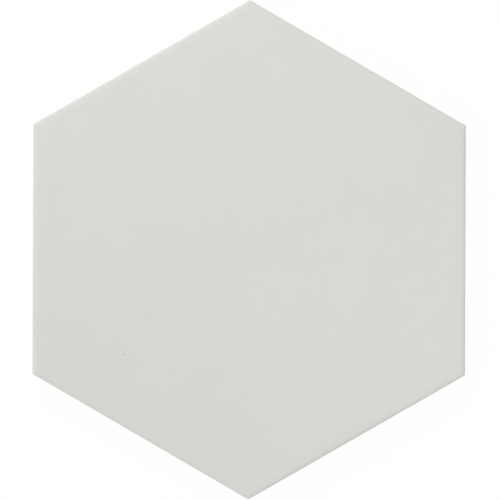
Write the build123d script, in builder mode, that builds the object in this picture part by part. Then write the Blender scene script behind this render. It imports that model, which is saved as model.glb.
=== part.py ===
from build123d import *

import os
from math import asin, cos, degrees, radians

# A hexagonal porcelain tile, dry-pressed and fired as one piece. It lies face up on
# its keyed back: the back's bearing plane is at Z = 0 and its middle is the origin.
# Two corners point along Y and two sides face along X. Sizes are millimetres and degrees.

# Outline
SIDES = 6
across_flats = 175.0  # from one side to the opposite one
thickness = 9.0  # from the back's bearing plane to the flat of the face
corner_radius = 0.8  # round of each upright corner

# Edge of the face, in three rounds that run smoothly into each other
cushion_width = 4.5  # band along each side in which the face falls away
cushion_radius = 40.0  # gentle curve of the inner part of that band
shoulder_width = 1.6  # outer part of the band, which falls away faster
shoulder_radius = 5.0  # curve of that outer part
arris_radius = 0.6  # small round from the shoulder down to the side

# Side
land_height = 3.0  # upright band under the arris, which faces the next tile across the joint
side_draft = 2.0  # lean of the side below the land, inwards to the back
back_bevel = 0.4  # bevel round the back

# Keyed back, which the adhesive grips
key_depth = 0.7  # from the bearing plane up to the floor of a cell
cell_pitch = 14.0  # from the middle of one cell to the next
rib_width = 2.5  # ribs between the cells
cell_draft = 20.0  # lean of the cells' walls
rim_width = 7.0  # least width of the plain rim round the cells

# Sizes that follow from those above
half_width = across_flats / 2
half_turn = 360.0 / SIDES / 2
cushion_slope = (cushion_width - shoulder_width) / cushion_radius
shoulder_run = shoulder_width - arris_radius + shoulder_radius * cushion_slope
cushion_fall = degrees(asin(cushion_slope))
shoulder_fall = degrees(asin(shoulder_run / (shoulder_radius - arris_radius)))

# Middles of the honeycomb's cells, in whole rings round the middle one. Rows run along
# the sides of the tile, and the outer ring stays clear of the rim.
cell_radius = (cell_pitch - rib_width) / 2 / cos(radians(half_turn))
row_spacing = cell_pitch * cos(radians(half_turn))
rings = int((half_width - rim_width - cell_radius) / row_spacing)
along_row = Vector(0, cell_pitch)
to_next_row = along_row.rotate(Axis.Z, -2 * half_turn)
cell_middles = [
    to_next_row * row + along_row * place
    for row in range(-rings, rings + 1)
    for place in range(-rings, rings + 1)
    if abs(row + place) <= rings
]

# Section of the face, drawn with X across the tile and Y up through it. Below the arris
# it runs on past the side.
with BuildSketch() as face_section:
    with BuildLine():
        flat = Line((0, thickness), (half_width - cushion_width, thickness))
        cushion = JernArc(flat @ 1, flat % 1, cushion_radius, -cushion_fall)
        shoulder = JernArc(cushion @ 1, cushion % 1, shoulder_radius, cushion_fall - shoulder_fall)
        arris = JernArc(shoulder @ 1, shoulder % 1, arris_radius, shoulder_fall - 90)
        land_top = (arris @ 1).Y
        Polyline(arris @ 1, (across_flats, land_top), (across_flats, 0), (0, 0))
        mirror(about=Plane.YZ)
    make_face()
land_foot = land_top - land_height

with BuildPart() as hexagon_tile:
    # Blank with its round corners, upright above the land's foot and drafted below it
    with BuildSketch(Plane.XY.offset(land_foot)) as outline:
        RegularPolygon(half_width, SIDES, major_radius=False, rotation=half_turn)
        fillet(outline.vertices(), corner_radius)
    extrude(amount=thickness - land_foot)
    extrude(outline.sketch, amount=-land_foot, taper=side_draft)
    chamfer(hexagon_tile.faces().sort_by(Axis.Z)[0].edges(), back_bevel)

    # The face falls away to each pair of opposite sides
    for pair in range(SIDES // 2):
        with BuildSketch(Plane.XZ.rotated((0, 0, 2 * half_turn * pair))):
            add(face_section.sketch)
        extrude(amount=across_flats, both=True, mode=Mode.INTERSECT)

    # Cells of the keyed back
    with BuildSketch():
        with Locations(*cell_middles):
            RegularPolygon(cell_radius, SIDES)
    extrude(amount=key_depth, taper=cell_draft, mode=Mode.SUBTRACT)

hexagon_tile.part.label = "hexagon_tile"

os.makedirs("parts", exist_ok=True)
export_step(hexagon_tile.part, "parts/hexagon_tile.step")
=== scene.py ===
"""Looks of a hexagonal porcelain tile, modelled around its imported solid.

The tile is one dry-pressed and fired piece. Matt glaze covers its face and runs over the
arris on to the upper side. Below the glaze line the body is bare, and the back is keyed with
a honeycomb of shallow cells. Lengths are metres, in the solid's own frame: the tile lies face
up with its back on Z = 0, and two of its corners point along Y.
"""

import logging
import math
from dataclasses import dataclass, field
from enum import Enum
from typing import Any, Callable, ClassVar, Mapping, Optional, Sequence, Union

import bmesh
import bpy
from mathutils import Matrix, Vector


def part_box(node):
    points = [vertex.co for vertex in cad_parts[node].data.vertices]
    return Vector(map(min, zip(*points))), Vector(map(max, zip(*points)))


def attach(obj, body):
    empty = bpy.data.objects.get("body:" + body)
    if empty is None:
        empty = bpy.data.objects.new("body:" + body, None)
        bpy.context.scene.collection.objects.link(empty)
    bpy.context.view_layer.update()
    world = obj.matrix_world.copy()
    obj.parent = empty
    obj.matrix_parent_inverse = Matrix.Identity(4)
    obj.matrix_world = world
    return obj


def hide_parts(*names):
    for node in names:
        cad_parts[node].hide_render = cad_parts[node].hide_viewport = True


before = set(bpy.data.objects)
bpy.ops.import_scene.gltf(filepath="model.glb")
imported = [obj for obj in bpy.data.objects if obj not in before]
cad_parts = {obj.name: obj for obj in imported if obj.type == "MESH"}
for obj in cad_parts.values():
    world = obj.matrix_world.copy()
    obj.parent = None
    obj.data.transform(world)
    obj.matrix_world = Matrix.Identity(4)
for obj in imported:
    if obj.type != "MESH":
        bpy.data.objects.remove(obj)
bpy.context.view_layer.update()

LOG = logging.getLogger("porcelain_tile")
MM = 0.001
CLOSE = 0.005 * MM  # lengths that differ by less count as equal
SIDES = 6
SIDE_TO_CORNER = math.pi / SIDES  # angle from the middle of a side to the next corner
WHITE = (1.0, 1.0, 1.0)

Colour = tuple[float, float, float]
Scaling = tuple[float, float, float]
Operand = Union["Socket", float]
Triple = Union["Socket", Sequence[float]]  # a colour or a vector


class Socket:
    """One output of a shader node, on which Python's operators add Math nodes."""

    def __init__(self, graph: "Graph", node: bpy.types.Node, output: Union[str, int] = 0) -> None:
        """Wraps an output.

        Args:
            graph: Nodes that the output's node is one of.
            node: The node.
            output: Name or number of the output.
        """
        self.graph = graph
        self.node = node
        self.output = output

    @property
    def link(self) -> bpy.types.NodeSocket:
        """Where a link to another node starts."""
        return self.node.outputs[self.output]

    def out(self, name: str) -> "Socket":
        """Another output of the same node."""
        return Socket(self.graph, self.node, name)

    def _math(self, operation: str, first: Operand, second: Operand) -> "Socket":
        """A Math node on two operands."""
        return self.graph.node("ShaderNodeMath", {"operation": operation}, {0: first, 1: second})

    def __add__(self, other: Operand) -> "Socket":
        """self + other."""
        return self._math("ADD", self, other)

    def __radd__(self, other: Operand) -> "Socket":
        """other + self."""
        return self._math("ADD", other, self)

    def __sub__(self, other: Operand) -> "Socket":
        """self - other."""
        return self._math("SUBTRACT", self, other)

    def __rsub__(self, other: Operand) -> "Socket":
        """other - self."""
        return self._math("SUBTRACT", other, self)

    def __mul__(self, other: Operand) -> "Socket":
        """self * other."""
        return self._math("MULTIPLY", self, other)

    def __rmul__(self, other: Operand) -> "Socket":
        """other * self."""
        return self._math("MULTIPLY", other, self)

    def step(self, low: float, high: float) -> "Socket":
        """A soft step, which falls where `low` is the larger.

        Args:
            low: Value at which the step is 0.
            high: Value at which the step is 1.

        Returns:
            The step, from 0 to 1.
        """
        settings = {"interpolation_type": "SMOOTHSTEP"}
        inputs = {"Value": self, "From Min": low, "From Max": high}
        return self.graph.node("ShaderNodeMapRange", settings, inputs)


class Graph:
    """The nodes of one material or of the world."""

    # A Mix node has a set of sockets for each kind of data. These are the ones for colours.
    MIX_SHARE: ClassVar[int] = 0
    MIX_FIRST: ClassVar[int] = 6
    MIX_SECOND: ClassVar[int] = 7
    MIX_RESULT: ClassVar[int] = 2

    def __init__(self, tree: bpy.types.NodeTree) -> None:
        """Empties `tree`, which `node` then fills."""
        self.tree = tree
        tree.nodes.clear()

    def node(
        self,
        kind: str,
        settings: Optional[Mapping[str, Any]] = None,
        inputs: Optional[Mapping[Union[str, int], Any]] = None,
        output: Union[str, int] = 0,
    ) -> Socket:
        """Adds a node.

        Args:
            kind: Blender's name of the node's type.
            settings: The node's own properties, which are set first.
            inputs: Value or link of each input, by its name or number.
            output: Name or number of the output that is returned.

        Returns:
            That output of the new node.
        """
        made = self.tree.nodes.new(kind)
        for name, value in (settings or {}).items():
            setattr(made, name, value)
        for key, value in (inputs or {}).items():
            if isinstance(value, Socket):
                self.tree.links.new(value.link, made.inputs[key])
            elif made.inputs[key].type == "RGBA":
                made.inputs[key].default_value = (*value, 1.0)
            else:
                made.inputs[key].default_value = value
        return Socket(self, made, output)

    def vector(self, operation: str, first: Triple, second: Triple) -> Socket:
        """A Vector Math node on two vectors."""
        return self.node("ShaderNodeVectorMath", {"operation": operation}, {0: first, 1: second})

    def reach(self, place: Socket, middle: tuple[float, float]) -> Socket:
        """The distance from an upright line.

        Args:
            place: Coordinates, in metres.
            middle: Where the line stands.

        Returns:
            The distance, in metres.
        """
        level = self.vector("MULTIPLY", place, (1.0, 1.0, 0.0))
        return self.vector("DISTANCE", level, (*middle, 0.0)).out("Value")

    def mix(self, share: Operand, first: Triple, second: Triple, blend: str = "MIX") -> Socket:
        """A mix of two colours.

        Args:
            share: How much of the second colour there is, from 0 to 1.
            first: Colour that is there without it.
            second: Colour that is mixed in.
            blend: How it is mixed in.

        Returns:
            The mixed colour.
        """
        settings = {"data_type": "RGBA", "blend_type": blend}
        inputs = {self.MIX_SHARE: share, self.MIX_FIRST: first, self.MIX_SECOND: second}
        return self.node("ShaderNodeMix", settings, inputs, self.MIX_RESULT)

    def tint(self, colour: Triple, by: Socket) -> Socket:
        """`colour`, made lighter or darker by the factor `by`."""
        shade = self.node("ShaderNodeCombineColor", {}, {"Red": by, "Green": by, "Blue": by})
        return self.mix(1.0, colour, shade, blend="MULTIPLY")


@dataclass(frozen=True)
class Noise:
    """Soft noise about zero: its strength, the length over which it changes, its finer layers."""

    strength: float
    length: float
    layers: float = 2.0
    finer: float = 0.5
    scaling: Scaling = (1.0, 1.0, 1.0)

    def over(self, graph: Graph, place: Socket) -> Socket:
        """The noise over a surface.

        Args:
            graph: Nodes to add to.
            place: Coordinates on the surface, in metres.

        Returns:
            The noise, from minus its strength to plus its strength.
        """
        drawn = graph.vector("MULTIPLY", place, [scale / self.length for scale in self.scaling])
        inputs = {"Vector": drawn, "Scale": 1.0, "Detail": self.layers, "Roughness": self.finer}
        return (graph.node("ShaderNodeTexNoise", {}, inputs) * 2.0 - 1.0) * self.strength


@dataclass(frozen=True)
class Speck:
    """A small dark inclusion, fired into the glaze of the face."""

    middle: tuple[float, float] = (-50.24 * MM, -42.5 * MM)
    radius: float = 0.88 * MM
    core: float = 0.09 * MM
    darkening: float = 0.18
    outline: Noise = Noise(0.18 * MM, 0.5 * MM)

    def shade(self, graph: Graph, place: Socket) -> Socket:
        """The speck's mark on the glaze.

        Args:
            graph: Nodes to add to.
            place: Coordinates on the tile, in metres.

        Returns:
            The share of the glaze's tone that is left, which is 1 away from the speck.
        """
        ragged = graph.reach(place, self.middle) + self.outline.over(graph, place)
        return 1.0 - ragged.step(self.radius, self.core) * self.darkening


@dataclass(frozen=True)
class MattGlaze:
    """Matt pale grey glaze, with a faint mottle, a fine grain and a shallow orange peel."""

    colour: Colour = (0.687, 0.694, 0.651)
    roughness: float = 0.62
    mottle: Noise = Noise(0.04, 55.0 * MM, layers=6.0, finer=0.9)
    grain: Noise = Noise(0.008, 0.4 * MM)
    sheen: Noise = Noise(0.03, 3.0 * MM)
    peel: Noise = Noise(0.004 * MM, 1.6 * MM, layers=3.0)
    speck: Speck = Speck()

    def tone(self, graph: Graph, place: Socket) -> Socket:
        """The glaze's colour.

        Args:
            graph: Nodes to add to.
            place: Coordinates on the tile, in metres.

        Returns:
            The colour.
        """
        shade = 1.0 + self.mottle.over(graph, place) + self.grain.over(graph, place)
        return graph.tint(self.colour, shade * self.speck.shade(graph, place))

    def gloss(self, graph: Graph, place: Socket) -> Socket:
        """The glaze's roughness."""
        return self.roughness + self.sheen.over(graph, place)

    def relief(self, graph: Graph, place: Socket) -> Socket:
        """Height of the glaze's fine relief, in metres."""
        return self.peel.over(graph, place)


@dataclass(frozen=True)
class KilnWash:
    """Pale dust from the kiln's rollers, in patchy bands on the ribs of the back."""

    colour: Colour = (0.815, 0.80, 0.765)
    cover: float = 0.75
    depth: float = 0.12 * MM
    bands: Noise = Noise(1.0, 24.0 * MM, scaling=(0.2, 1.0, 0.0))
    patches: Noise = Noise(0.6, 4.0 * MM, layers=4.0)
    starts_at: float = -0.15
    full_at: float = 0.35

    def over(self, graph: Graph, place: Socket, body: Socket) -> Socket:
        """Dusts the body with the wash.

        Args:
            graph: Nodes to add to.
            place: Coordinates on the tile, in metres.
            body: The body's colour.

        Returns:
            The body's colour with the wash on it.
        """
        height = graph.node("ShaderNodeSeparateXYZ", {}, {"Vector": place}, "Z")
        patchy = self.bands.over(graph, place) + self.patches.over(graph, place)
        share = patchy.step(self.starts_at, self.full_at) * height.step(self.depth, 0.0)
        return graph.mix(share * self.cover, body, self.colour)


@dataclass(frozen=True)
class BareBody:
    """Fired body without glaze: sandy, scored by the die, with pale engobe under the glaze line."""

    DRAWN_UP: ClassVar[Scaling] = (1.0, 1.0, 0.04)

    colour: Colour = (0.645, 0.604, 0.527)
    roughness: float = 0.82
    grain: Noise = Noise(0.07, 0.45 * MM, layers=3.0)
    grit: Noise = Noise(0.025 * MM, 0.45 * MM, layers=3.0)
    streaks: Noise = Noise(0.05, 0.8 * MM, layers=3.0, scaling=DRAWN_UP)
    scores: Noise = Noise(0.03 * MM, 0.8 * MM, layers=3.0, scaling=DRAWN_UP)
    engobe_colour: Colour = (0.80, 0.79, 0.755)
    engobe_full_mm: float = 0.175
    engobe_end_mm: float = 0.35
    wash: KilnWash = KilnWash()

    def tone(self, graph: Graph, place: Socket, below_glaze_mm: Socket) -> Socket:
        """The body's colour, with the engobe and the kiln wash.

        Args:
            graph: Nodes to add to.
            place: Coordinates on the tile, in metres.
            below_glaze_mm: Depth below the glaze line, in millimetres.

        Returns:
            The colour.
        """
        shade = 1.0 + self.grain.over(graph, place) + self.streaks.over(graph, place)
        engobe = below_glaze_mm.step(self.engobe_end_mm, self.engobe_full_mm)
        side = graph.mix(engobe, graph.tint(self.colour, shade), self.engobe_colour)
        return self.wash.over(graph, place, side)

    def relief(self, graph: Graph, place: Socket) -> Socket:
        """Height of the body's fine relief, in metres."""
        return self.grit.over(graph, place) + self.scores.over(graph, place)


@dataclass(frozen=True)
class Porcelain:
    """The tile's one finish: matt glaze down to the glaze line and bare body below it."""

    NAME: ClassVar[str] = "glazed_porcelain"

    glaze: MattGlaze = MattGlaze()
    body: BareBody = BareBody()
    ior: float = 1.5
    glaze_end_mm: float = 0.03
    body_start_mm: float = 0.06

    def material(self, below_glaze_mm: str) -> bpy.types.Material:
        """Makes the material.

        Args:
            below_glaze_mm: Name of the mesh's attribute for the depth below the glaze line.

        Returns:
            The new material.
        """
        made = bpy.data.materials.new(self.NAME)
        made.use_nodes = True
        graph = Graph(made.node_tree)
        place = graph.node("ShaderNodeTexCoord", output="Object")
        depth = graph.node("ShaderNodeAttribute", {"attribute_name": below_glaze_mm}, output="Fac")
        bare = depth.step(self.glaze_end_mm, self.body_start_mm)
        glaze_tone = self.glaze.tone(graph, place)
        body_tone = self.body.tone(graph, place, depth)
        gloss = self.glaze.gloss(graph, place)
        peel = self.glaze.relief(graph, place)
        height = peel + (self.body.relief(graph, place) - peel) * bare
        relief = {"Strength": 1.0, "Distance": 1.0, "Height": height}
        inputs = {
            "Base Color": graph.mix(bare, glaze_tone, body_tone),
            "Roughness": gloss + (self.body.roughness - gloss) * bare,
            "IOR": self.ior,
            "Normal": graph.node("ShaderNodeBump", {}, relief),
        }
        shader = graph.node("ShaderNodeBsdfPrincipled", {}, inputs)
        graph.node("ShaderNodeOutputMaterial", {}, {"Surface": shader})
        return made


class Pick(Enum):
    """Kinds of mesh element that can be selected."""

    EDGES = "EDGE"
    FACES = "FACE"


def start_fresh() -> None:
    """Leaves edit mode and deselects every object."""
    if bpy.context.object and bpy.context.object.mode != "OBJECT":
        bpy.ops.object.mode_set(mode="OBJECT")
    bpy.ops.object.select_all(action="DESELECT")


def select(kind: Pick, wanted: Callable[[Any], bool]) -> None:
    """Selects elements of the mesh in edit mode, and nothing else.

    Args:
        kind: Which elements are looked at.
        wanted: Says whether an element is selected.
    """
    bpy.ops.mesh.select_mode(type=kind.value)
    bpy.ops.mesh.select_all(action="DESELECT")
    mesh = bpy.context.edit_object.data
    edited = bmesh.from_edit_mesh(mesh)
    elements = edited.edges if kind is Pick.EDGES else edited.faces
    for element in elements:
        if wanted(element):
            element.select_set(True)
    edited.select_flush_mode()
    bmesh.update_edit_mesh(mesh)


def extrude_up(height: float) -> None:
    """Extrudes the selection along Z, and leaves what is new selected."""
    bpy.ops.mesh.extrude_region_move(TRANSFORM_OT_translate={"value": (0.0, 0.0, height)})


def widen(by: float) -> None:
    """Scales the selection along X and Y, about the Z axis."""
    bpy.ops.transform.resize(value=(by, by, 1.0), center_override=(0.0, 0.0, 0.0))


@dataclass(frozen=True)
class Ring:
    """One level of the tile's section: its height, and how far its sides are from the middle."""

    height: float
    half_width: float


@dataclass(frozen=True)
class Round:
    """An arc of the tile's section, on which the surface turns down to a steeper fall."""

    radius: float
    fall: float
    facets: int

    def rings(self, start: Ring, fall: float) -> list[Ring]:
        """The rings of the arc.

        Args:
            start: Ring at which the arc starts.
            fall: Fall of the surface there, in radians.

        Returns:
            The rings below `start`, down to the one where the surface has the arc's own fall.
        """
        steps = [facet / self.facets for facet in range(1, self.facets + 1)]
        return [
            Ring(
                start.height - self.radius * (math.cos(fall) - math.cos(reached)),
                start.half_width + self.radius * (math.sin(reached) - math.sin(fall)),
            )
            for reached in (fall + (self.fall - fall) * step for step in steps)
        ]


@dataclass
class KeyedBack:
    """Honeycomb of shallow cells in the back, which the adhesive grips."""

    cell_pitch: float = 14.0 * MM
    rib_width: float = 2.5 * MM
    rim_width: float = 7.0 * MM
    key_depth: float = 0.7 * MM
    cell_draft: float = math.radians(20.0)
    corner_bevel: float = 0.6 * MM
    mouth_round: float = 0.3 * MM
    floor_round: float = 0.25 * MM
    facets: int = 2

    @property
    def mouth_radius(self) -> float:
        """Distance from the middle of a cell to the corners of its mouth."""
        return (self.cell_pitch - self.rib_width) / 2 / math.cos(SIDE_TO_CORNER)

    @property
    def rib_radius(self) -> float:
        """Distance from the middle of a cell to where the ribs round it meet."""
        return self.cell_pitch / 2 / math.cos(SIDE_TO_CORNER)

    def middles(self, half_width: float) -> list[Vector]:
        """Places of the cells, in whole rings round the middle one.

        Args:
            half_width: Distance from the tile's middle to its sides.

        Returns:
            The middle of each cell, the tile's own middle first.
        """
        row_spacing = self.cell_pitch * math.cos(SIDE_TO_CORNER)
        rings = int((half_width - self.rim_width - self.mouth_radius) / row_spacing)
        along_row = Vector((0.0, self.cell_pitch, 0.0))
        to_next_row = Vector((row_spacing, self.cell_pitch / 2, 0.0))
        span = range(-rings, rings + 1)
        places = [
            to_next_row * row + along_row * place
            for row in span
            for place in span
            if abs(row + place) <= rings
        ]
        return sorted(places, key=lambda place: place.length)

    def press(self, half_width: float) -> None:
        """Models one cell in the mesh that is being edited, and copies it over the back.

        Args:
            half_width: Distance from the tile's middle to its sides.
        """
        self._model_cell()
        middles = self.middles(half_width)
        for last, place in zip(middles, middles[1:]):
            bpy.ops.mesh.duplicate_move(TRANSFORM_OT_translate={"value": place - last})

    def _model_cell(self) -> None:
        """Models the middle cell, with half a rib round it, and leaves it selected."""
        bpy.ops.mesh.select_all(action="DESELECT")
        bpy.ops.mesh.primitive_circle_add(
            vertices=SIDES,
            radius=self.rib_radius,
            fill_type="NGON",
            calc_uvs=False,
            rotation=(0.0, 0.0, SIDE_TO_CORNER),
        )
        bpy.ops.mesh.select_mode(type="FACE")
        bpy.ops.mesh.inset(thickness=self.rib_width / 2)
        extrude_up(self.key_depth)
        drawn_in = self.key_depth * math.tan(self.cell_draft) / math.cos(SIDE_TO_CORNER)
        widen(1.0 - drawn_in / self.mouth_radius)

        # The corners' bevel runs on past the pocket's mouth, over the ribs.
        pocket_end = self.mouth_radius + self.corner_bevel / 2

        def in_pocket(edge: bmesh.types.BMEdge) -> bool:
            """Whether an edge belongs to the pocket."""
            return all(end.co.xy.length < pocket_end for end in edge.verts)

        def runs_down(edge: bmesh.types.BMEdge) -> bool:
            """Whether an edge runs down a corner of the pocket."""
            top, foot = edge.verts
            return in_pocket(edge) and abs(top.co.z - foot.co.z) > self.key_depth / 2

        def lies_at(height: float) -> Callable[[bmesh.types.BMEdge], bool]:
            """A test for the pocket's edges at one height."""
            return lambda edge: in_pocket(edge) and all(
                abs(end.co.z - height) < CLOSE for end in edge.verts
            )

        select(Pick.EDGES, runs_down)
        bpy.ops.mesh.bevel(offset=self.corner_bevel, segments=1, affect="EDGES")
        select(Pick.EDGES, lies_at(0.0))
        bpy.ops.mesh.bevel(offset=self.mouth_round, segments=self.facets, affect="EDGES")
        select(Pick.EDGES, lies_at(self.key_depth))
        bpy.ops.mesh.bevel(offset=self.floor_round, segments=self.facets, affect="EDGES")
        outline = self.rib_radius + CLOSE
        select(Pick.FACES, lambda face: all(end.co.xy.length < outline for end in face.verts))


@dataclass
class HexagonTile:
    """The tile: an outline with rounded corners, raised ring by ring to its cushioned face."""

    NAME: ClassVar[str] = "glazed_hexagon_tile"
    BELOW_GLAZE: ClassVar[str] = "below_glaze_mm"
    GLAZE_EDGE: ClassVar[str] = "glaze_edge"

    # Outline
    across_flats: float
    thickness: float
    corner_radius: float = 0.8 * MM
    corner_facets: int = 6
    side_cuts: int = 79  # points along each side, between which the glaze line wanders

    # Edge of the face, in three rounds that run smoothly into each other
    cushion_width: float = 4.5 * MM
    cushion_radius: float = 40.0 * MM
    shoulder_width: float = 1.6 * MM
    shoulder_radius: float = 5.0 * MM
    arris_radius: float = 0.6 * MM
    edge_facets: int = 8
    face_margin: float = 0.4 * MM  # level strip round the flat, which keeps its shading even
    smooth_below: float = math.radians(40.0)  # edges that turn more stay sharp

    # Side and back
    land_height: float = 3.0 * MM
    side_draft: float = math.radians(2.0)
    back_bevel: float = 0.4 * MM
    back: KeyedBack = field(default_factory=KeyedBack)

    # Glaze on the side
    glaze_reach: float = 1.0 * MM  # from the foot of the arris down to the glaze line
    glaze_thickness: float = 0.08 * MM
    glaze_wave: float = 1.1 * MM
    glaze_wave_length: float = 9.0 * MM
    glaze_wave_layers: int = 2

    @classmethod
    def around_solid(cls) -> "HexagonTile":
        """Takes the tile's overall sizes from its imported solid.

        Returns:
            A tile as wide and as thick as the solid.
        """
        low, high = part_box("hexagon_tile")
        size = high - low
        return cls(across_flats=size.x, thickness=size.z)

    @property
    def glaze_line(self) -> float:
        """Height at which the glaze ends on the side, before its edge wanders."""
        return self.face_edge()[-1].height - self.glaze_reach

    def face_edge(self) -> list[Ring]:
        """The section from the flat of the face out over the cushion, the shoulder and the arris.

        Returns:
            Rings from the flat of the face down to the top of the land.
        """
        cushion_slope = (self.cushion_width - self.shoulder_width) / self.cushion_radius
        shoulder_run = self.shoulder_width - self.arris_radius + self.shoulder_radius * cushion_slope
        shoulder_slope = shoulder_run / (self.shoulder_radius - self.arris_radius)
        rounds = (
            Round(self.cushion_radius, math.asin(cushion_slope), self.edge_facets),
            Round(self.shoulder_radius, math.asin(shoulder_slope), self.edge_facets),
            Round(self.arris_radius, math.pi / 2, self.edge_facets),
        )
        rings = [Ring(self.thickness, self.across_flats / 2 - self.cushion_width)]
        fall = 0.0
        for each in rounds:
            rings += each.rings(rings[-1], fall)
            fall = each.fall
        return rings

    def section(self) -> list[Ring]:
        """The whole section, from the bevel of the back up to the flat of the face.

        Returns:
            Rings from the lowest to the highest.
        """
        edge = self.face_edge()
        land_foot = edge[-1].height - self.land_height
        glazed = self.across_flats / 2
        bare = glazed - self.glaze_thickness
        foot = bare - (land_foot - self.back_bevel) * math.tan(self.side_draft)
        return [
            Ring(0.0, foot - self.back_bevel),
            Ring(self.back_bevel, foot),
            Ring(land_foot, bare),
            Ring(self.glaze_line - self.glaze_thickness, bare),
            Ring(self.glaze_line, glazed),
            *reversed(edge),
        ]

    def build(self) -> bpy.types.Object:
        """Models the tile.

        Returns:
            The finished object, at the origin.
        """
        start_fresh()
        rings = self.section()
        self._draw_outline(rings[0])
        for lower, upper in zip(rings, rings[1:]):
            extrude_up(upper.height - lower.height)
            widen(upper.half_width / lower.half_width)
        bpy.ops.mesh.edge_face_add()
        bpy.ops.mesh.inset(thickness=self.face_margin)
        # One wide face would be cut into slivers. A fan from its middle has none.
        bpy.ops.mesh.poke()
        self.back.press(self.across_flats / 2)
        self._close_rim()
        bpy.ops.object.mode_set(mode="OBJECT")
        tile = bpy.context.object
        tile.name = tile.data.name = self.NAME
        self._let_glaze_run(tile)
        bpy.ops.object.shade_smooth_by_angle(angle=self.smooth_below)
        return tile

    def _draw_outline(self, foot: Ring) -> None:
        """Draws the tile's outline at the foot of its side.

        Args:
            foot: The lowest ring of the section.
        """
        bpy.ops.mesh.primitive_circle_add(
            vertices=SIDES,
            radius=foot.half_width / math.cos(SIDE_TO_CORNER),
            fill_type="NGON",
            calc_uvs=False,
            enter_editmode=True,
        )
        bpy.ops.mesh.select_mode(type="VERT")
        bpy.ops.mesh.select_all(action="SELECT")
        rounding = self.corner_radius * math.tan(SIDE_TO_CORNER)
        bpy.ops.mesh.bevel(offset=rounding, segments=self.corner_facets, affect="VERTICES")
        bpy.ops.mesh.select_all(action="SELECT")
        bpy.ops.mesh.delete(type="ONLY_FACE")
        select(Pick.EDGES, lambda edge: edge.calc_length() > foot.half_width / 2)
        bpy.ops.mesh.subdivide(number_cuts=self.side_cuts)
        bpy.ops.mesh.select_all(action="SELECT")

    @staticmethod
    def _close_rim() -> None:
        """Joins the cells to each other, and by a plain rim to the foot of the side."""
        bpy.ops.mesh.select_mode(type="EDGE")
        bpy.ops.mesh.select_all(action="SELECT")
        bpy.ops.mesh.remove_doubles(threshold=CLOSE)
        select(Pick.EDGES, lambda edge: edge.is_boundary)
        bpy.ops.mesh.fill(use_beauty=True)
        bpy.ops.mesh.select_all(action="SELECT")
        bpy.ops.mesh.normals_make_consistent(inside=False)

    def _let_glaze_run(self, tile: bpy.types.Object) -> None:
        """Records the depth below the glaze line, then lets that line wander along the side.

        Args:
            tile: The modelled tile, with an even glaze line.
        """
        line = self.glaze_line
        depth = tile.data.attributes.new(self.BELOW_GLAZE, "FLOAT", "POINT")
        edge = tile.vertex_groups.new(name=self.GLAZE_EDGE)
        for point, value in zip(tile.data.vertices, depth.data):
            below = line - point.co.z
            value.value = max(0.0, below) / MM
            if -CLOSE < below < self.glaze_thickness + CLOSE:
                edge.add([point.index], 1.0, "REPLACE")
        wave = bpy.data.textures.new(self.GLAZE_EDGE, "CLOUDS")
        wave.noise_scale = self.glaze_wave_length
        wave.noise_depth = self.glaze_wave_layers
        bpy.ops.object.modifier_add(type="DISPLACE")
        wander = tile.modifiers[-1]
        wander.texture = wave
        wander.direction = "Z"
        wander.strength = self.glaze_wave
        wander.vertex_group = edge.name
        bpy.ops.object.modifier_apply(modifier=wander.name)

    def dress(self, tile: bpy.types.Object, finish: Porcelain) -> None:
        """Gives the tile its finish and puts it in the place of its solid.

        Args:
            tile: The modelled tile.
            finish: What it is made of.
        """
        tile.data.materials.append(finish.material(self.BELOW_GLAZE))
        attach(tile, "root")
        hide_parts("hexagon_tile")


@dataclass(frozen=True)
class SoftBox:
    """A square studio lamp, aimed at the middle of the tile. Angles are degrees."""

    name: str
    azimuth: float
    elevation: float
    distance: float
    size: float
    level: float

    def build(self) -> bpy.types.Object:
        """Hangs the lamp, under which level white paper would show `level` of full white.

        Returns:
            The lamp.
        """
        start_fresh()
        azimuth, elevation = math.radians(self.azimuth), math.radians(self.elevation)
        away = Vector((math.cos(azimuth), math.sin(azimuth), math.tan(elevation))).normalized()
        bpy.ops.object.light_add(
            type="AREA",
            location=away * self.distance,
            rotation=away.to_track_quat("Z", "Y").to_euler(),
        )
        lamp = bpy.context.object
        lamp.name = lamp.data.name = self.name
        lamp.visible_camera = False
        lamp.data.shape = "SQUARE"
        lamp.data.size = self.size
        lamp.data.energy = self.level * (math.pi * self.distance) ** 2 / math.sin(elevation)
        return lamp


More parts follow.
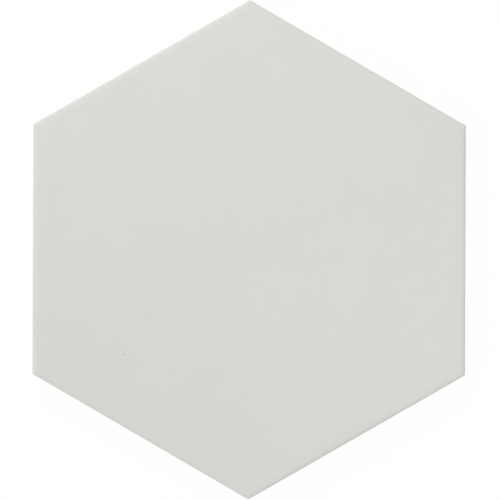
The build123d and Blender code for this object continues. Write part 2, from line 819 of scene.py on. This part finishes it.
@dataclass
class Studio:
    """White floor and surroundings, soft lamps, and the camera straight above the tile."""

    lamps: Sequence[SoftBox] = (
        SoftBox("key", azimuth=203.0, elevation=34.0, distance=2.67, size=0.9, level=0.147),
        SoftBox("top", azimuth=109.0, elevation=35.0, distance=0.95, size=0.35, level=0.238),
        SoftBox("fill", azimuth=327.0, elevation=62.0, distance=0.36, size=0.1, level=0.095),
    )
    surround_level: float = 0.504  # even light from all round, in the unit of the lamps' levels

    floor_size: float = 8.0
    floor_drop: float = 0.1 * MM  # room under the tile's back
    floor_white: float = 0.96  # share of plain white near the tile, which leaves a faint shadow
    floor_fade: tuple[float, float] = (0.15, 0.6)  # distances over which that share rises to 1

    camera_place: tuple[float, float, float] = (0.36 * MM, -0.11 * MM, 1.2)
    camera_roll: float = math.radians(0.205)
    camera_lens: float = 212.1

    def build(self) -> list[bpy.types.Object]:
        """Sets the whole stage.

        Returns:
            The floor, the lamps and the camera.
        """
        bpy.context.scene.view_settings.view_transform = "Standard"
        self._surround()
        return [self._lay_floor(), *(lamp.build() for lamp in self.lamps), self._aim_camera()]

    @staticmethod
    def _seen(graph: Graph) -> Socket:
        """1 for rays that carry the background to the camera, and 0 for rays that only light."""
        ray = graph.node("ShaderNodeLightPath", output="Is Camera Ray")
        return ray + ray.out("Is Glossy Ray") + ray.out("Is Transmission Ray")

    def _surround(self) -> None:
        """Surrounds the stage with even light, which shows as white."""
        world = bpy.data.worlds.new("studio")
        world.use_nodes = True
        bpy.context.scene.world = world
        graph = Graph(world.node_tree)
        level = {"Color": WHITE, "Strength": self.surround_level}
        light = graph.node("ShaderNodeBackground", {}, level)
        white = graph.node("ShaderNodeBackground", {}, {"Color": WHITE, "Strength": 1.0})
        look = graph.node("ShaderNodeMixShader", {}, {0: self._seen(graph), 1: light, 2: white})
        graph.node("ShaderNodeOutputWorld", {}, {"Surface": look})

    def _lay_floor(self) -> bpy.types.Object:
        """Lays the floor, which looks white, takes the shadow and fades into the surroundings.

        Returns:
            The floor.
        """
        start_fresh()
        place = (0.0, 0.0, -self.floor_drop)
        bpy.ops.mesh.primitive_plane_add(size=self.floor_size, calc_uvs=False, location=place)
        floor = bpy.context.object
        floor.name = floor.data.name = "floor"
        floor.data.materials.append(self._floor_paint())
        return floor

    def _floor_paint(self) -> bpy.types.Material:
        """Makes the floor's material.

        Returns:
            The new material.
        """
        made = bpy.data.materials.new("white_floor")
        made.use_nodes = True
        graph = Graph(made.node_tree)
        place = graph.node("ShaderNodeTexCoord", output="Object")
        far = graph.reach(place, (0.0, 0.0)).step(*self.floor_fade)
        share = self._seen(graph) * (self.floor_white + far * (1.0 - self.floor_white))
        paint = graph.node("ShaderNodeBsdfDiffuse", {}, {"Color": WHITE})
        white = graph.node("ShaderNodeEmission", {}, {"Color": WHITE, "Strength": 1.0})
        look = graph.node("ShaderNodeMixShader", {}, {0: share, 1: paint, 2: white})
        graph.node("ShaderNodeOutputMaterial", {}, {"Surface": look})
        return made

    def _aim_camera(self) -> bpy.types.Object:
        """Puts the camera above the tile, looking straight down.

        Returns:
            The camera.
        """
        start_fresh()
        roll = (0.0, 0.0, self.camera_roll)
        bpy.ops.object.camera_add(location=self.camera_place, rotation=roll)
        camera = bpy.context.object
        camera.name = camera.data.name = "camera"
        camera.data.lens = self.camera_lens
        bpy.context.scene.camera = camera
        return camera


def main() -> None:
    """Builds and dresses the tile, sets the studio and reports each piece."""
    logging.basicConfig(level=logging.INFO, format="%(name)s: %(message)s")
    design = HexagonTile.around_solid()
    tile = design.build()
    design.dress(tile, Porcelain())
    LOG.info("%s: %d faces in %s", tile.name, len(tile.data.polygons), Porcelain.NAME)
    for piece in Studio().build():
        place = ", ".join(f"{length / MM:.1f}" for length in piece.location)
        LOG.info("%s: %s at (%s) mm", piece.name, piece.type.lower(), place)


if __name__ == "__main__":
    main()
